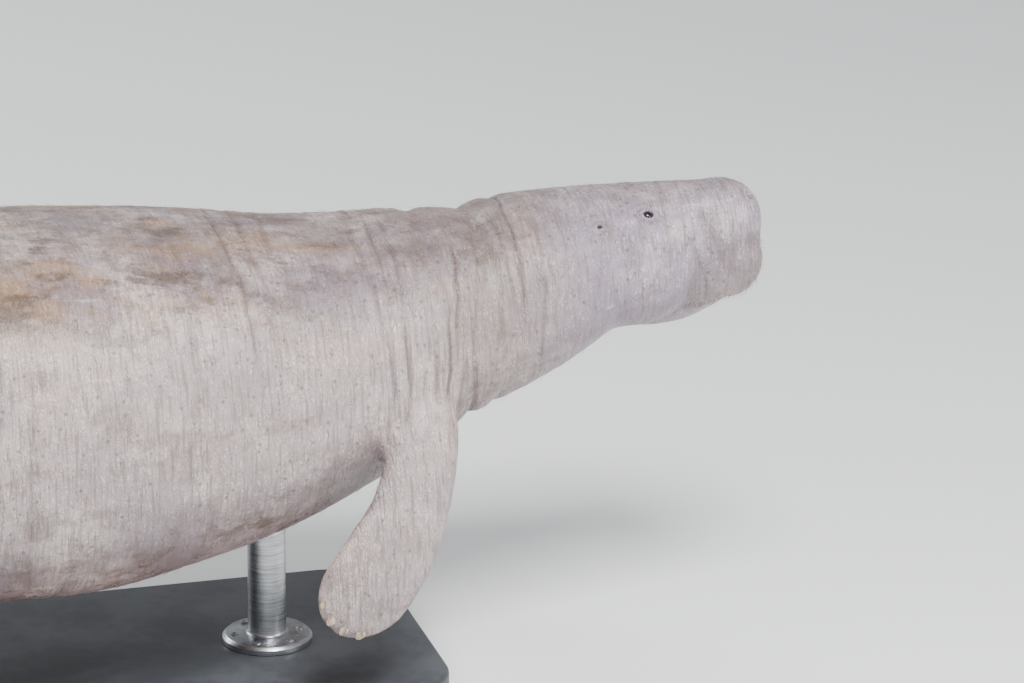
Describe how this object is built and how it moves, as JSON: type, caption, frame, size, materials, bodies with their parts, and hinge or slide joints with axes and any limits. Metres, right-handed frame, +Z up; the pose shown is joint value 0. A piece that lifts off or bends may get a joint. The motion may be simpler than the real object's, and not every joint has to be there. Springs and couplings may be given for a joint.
{
  "type": "manatee model",
  "caption": "Life-size still model of a manatee surfacing to breathe, with a rounded tail paddle and hanging flippers, on a low display stand.",
  "frame": {"origin": "centre of the display stand's underside, on the floor", "axes": "+X towards the muzzle, +Y to the animal's left, +Z up"},
  "size_m": [2.999, 0.7626, 0.86],
  "materials": {
    "skin": "wet grey-brown skin with yellow-brown algae stains and fine wrinkles",
    "eye": "dark wet eye",
    "nail": "worn pale horn",
    "stand_base": "satin dark grey paint",
    "stand_rod": "brushed steel"
  },
  "bodies": {
    "root": {"muzzle": "skin", "head": "skin", "neck": "skin", "chest": "skin", "abdomen": "skin", "tail_stock": "skin", "tail_paddle": "skin", "lower_jaw": "skin", "flipper_right": "skin", "flipper_left": "skin", "eye_right": "eye", "eye_left": "eye", "nail_right_1": "nail", "nail_right_2": "nail", "nail_right_3": "nail", "nail_right_4": "nail", "nail_left_1": "nail", "nail_left_2": "nail", "nail_left_3": "nail", "nail_left_4": "nail", "stand_base": "stand_base", "stand_rod_front": "stand_rod", "stand_rod_rear": "stand_rod"}
  },
  "joints": []
}
